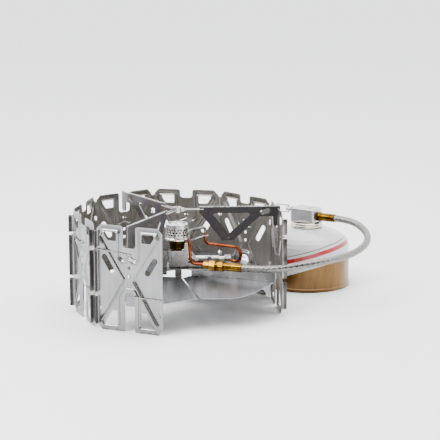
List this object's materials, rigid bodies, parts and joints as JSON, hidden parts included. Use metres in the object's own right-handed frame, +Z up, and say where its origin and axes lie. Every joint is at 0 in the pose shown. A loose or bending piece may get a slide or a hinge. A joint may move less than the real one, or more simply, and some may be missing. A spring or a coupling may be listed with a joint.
{
  "type": "canister stove",
  "caption": "Remote-canister gas stove: a hinged ring of stamped windscreen panels carries folding pot supports and a burner, joined by a braided hose to a valve on a gas canister.",
  "frame": {"origin": "on the ground, on the burner's vertical axis", "axes": "+Z up; +X along the stove's long side, from the burner towards the gas canister's side; +Y away from the open front"},
  "size_m": [0.2933, 0.2462, 0.099],
  "materials": {
    "screen_steel": "stamped stainless sheet, satin, bright rolled edges",
    "hinge_wire": "drawn stainless wire, bright",
    "support_steel": "stainless sheet darkened by heat",
    "support_wire": "bright stainless wire and clip",
    "reflector_steel": "bright rolled stainless sheet, faint lengthwise streaks",
    "burner_steel": "turned and polished stainless",
    "burner_brass": "turned brass, lightly tarnished",
    "bracket_steel": "pressed sheet, dull and heat-stained",
    "preheat_copper": "drawn copper, stained grey in the flame",
    "hose_braid": "woven stainless wire sleeve",
    "valve_aluminium": "machined aluminium, fine satin",
    "valve_steel": "turned steel",
    "seal_rubber": "moulded rubber",
    "canister_paint": "gloss lacquer, white above and gold below",
    "canister_steel": "lacquered tinplate",
    "canister_brass": "turned brass"
  },
  "bodies": {
    "stove_base": {"panel_rear_left": "screen_steel", "reflector_plate": "reflector_steel", "reflector_ear": "reflector_steel", "reflector_petal_rear": "reflector_steel", "reflector_petal_back": "reflector_steel", "burner_cup": "burner_steel", "burner_top_disc": "burner_steel", "burner_base_ring": "burner_brass", "burner_collar": "burner_brass", "mixing_tube": "bracket_steel", "jet_holder": "burner_steel", "gas_jet": "burner_brass", "burner_bracket": "bracket_steel", "stand_frame": "bracket_steel", "bracket_screws": "bracket_steel", "preheat_tube": "preheat_copper", "tube_stay": "hinge_wire", "tube_nut": "burner_brass", "fitting_body": "burner_brass", "union_ring": "burner_brass", "hose_nut": "burner_brass", "hose_ferrule": "burner_brass", "hose": "hose_braid", "outlet_ferrule": "burner_brass", "outlet_nut": "burner_brass", "valve_block": "valve_aluminium", "valve_cap": "valve_aluminium", "valve_seal": "seal_rubber", "gland_nut": "burner_brass"},
    "screen_left": {"panel_left": "screen_steel", "hinge_wire_3": "hinge_wire"},
    "screen_front_left": {"panel_front_left": "screen_steel", "hinge_wire_2": "hinge_wire"},
    "screen_front": {"panel_front": "screen_steel", "hinge_wire_1": "hinge_wire", "reflector_tie_wire": "hinge_wire"},
    "screen_rear": {"panel_rear": "screen_steel", "hinge_wire_4": "hinge_wire"},
    "screen_rear_right": {"panel_rear_right": "screen_steel", "hinge_wire_5": "hinge_wire"},
    "screen_right": {"panel_right": "screen_steel", "hinge_wire_6": "hinge_wire", "closing_hook_wire": "hinge_wire"},
    "support_centre": {"support_hub": "support_wire"},
    "support_front": {"arm_front": "support_steel", "bail_front": "support_wire"},
    "support_rear": {"arm_rear": "support_steel", "bail_rear": "support_wire"},
    "support_right": {"arm_right": "support_steel", "bail_right": "support_wire"},
    "petal_right": {"reflector_petal_right": "reflector_steel"},
    "petal_left": {"reflector_petal_left": "reflector_steel"},
    "canister": {"canister_shell": "canister_paint", "canister_base": "canister_steel", "valve_cup": "canister_steel", "canister_valve": "canister_brass", "valve_stem": "valve_steel"},
    "valve_control": {"valve_spindle": "valve_steel"},
    "flame_handle": {"wire_handle": "hinge_wire"}
  },
  "joints": [
    {"name": "left_screen_swing", "type": "hinge", "parent": "stove_base", "child": "screen_left", "pos_m": [-0.08421, 0.06007, 0], "axis": [0, 0, 1], "range_deg": [-60, 0], "deforming": ["hinge_wire_3"]},
    {"name": "front_left_screen_swing", "type": "hinge", "parent": "screen_left", "child": "screen_front_left", "pos_m": [-0.09974, -0.0088, 0], "axis": [0, 0, 1], "range_deg": [-75, 0], "deforming": ["hinge_wire_2"]},
    {"name": "front_screen_swing", "type": "hinge", "parent": "screen_front_left", "child": "screen_front", "pos_m": [-0.07295, -0.07412, 0], "axis": [0, 0, 1], "range_deg": [-80, 0], "deforming": ["hinge_wire_1"]},
    {"name": "rear_screen_swing", "type": "hinge", "parent": "stove_base", "child": "screen_rear", "pos_m": [-0.02805, 0.10285, 0], "axis": [0, 0, 1], "range_deg": [0, 3], "deforming": ["hinge_wire_4"]},
    {"name": "rear_right_screen_swing", "type": "hinge", "parent": "screen_rear", "child": "screen_rear_right", "pos_m": [0.04154, 0.09096, 0], "axis": [0, 0, 1], "range_deg": [0, 4], "deforming": ["hinge_wire_5"]},
    {"name": "right_screen_swing", "type": "hinge", "parent": "screen_rear_right", "child": "screen_right", "pos_m": [0.09172, 0.0413, 0], "axis": [0, 0, 1], "range_deg": [0, 65], "deforming": ["hinge_wire_6"]},
    {"name": "pot_support_lift", "type": "slide", "parent": "stove_base", "child": "support_centre", "axis": [0, 0, 1], "range_m": [0, 0.03]},
    {"name": "front_support_fold", "type": "hinge", "parent": "support_centre", "child": "support_front", "pos_m": [-0.00234, -0.00509, 0.0962], "axis": [-0.9085, 0.4179, 0], "range_deg": [0, 85]},
    {"name": "rear_support_fold", "type": "hinge", "parent": "support_centre", "child": "support_rear", "pos_m": [-0.00318, 0.00461, 0.0962], "axis": [0.8234, 0.5674, 0], "range_deg": [0, 85]},
    {"name": "right_support_fold", "type": "hinge", "parent": "support_centre", "child": "support_right", "pos_m": [0.00559, 0.00036, 0.0962], "axis": [0.0652, -0.9979, 0], "range_deg": [0, 85]},
    {"name": "right_petal_fold", "type": "hinge", "parent": "stove_base", "child": "petal_right", "pos_m": [0.019, -0.01, 0.034], "axis": [0.9336, -0.3584, 0], "range_deg": [0, 25]},
    {"name": "left_petal_fold", "type": "hinge", "parent": "stove_base", "child": "petal_left", "pos_m": [-0.004, -0.017, 0.034], "axis": [0.9336, -0.3584, 0], "range_deg": [0, 20]},
    {"name": "canister_turn", "type": "hinge", "parent": "stove_base", "child": "canister", "pos_m": [0.13, 0.0976, 0], "axis": [0, 0, 1], "continuous": true},
    {"name": "valve_turn", "type": "hinge", "parent": "stove_base", "child": "valve_control", "pos_m": [0.11813, 0.10502, 0.0755], "axis": [-0.848, 0.5299, 0], "range_deg": [0, 720]},
    {"name": "handle_fold", "type": "hinge", "parent": "valve_control", "child": "flame_handle", "pos_m": [0.11219, 0.10873, 0.0755], "axis": [0, 0, 1], "range_deg": [-90, 90]}
  ]
}
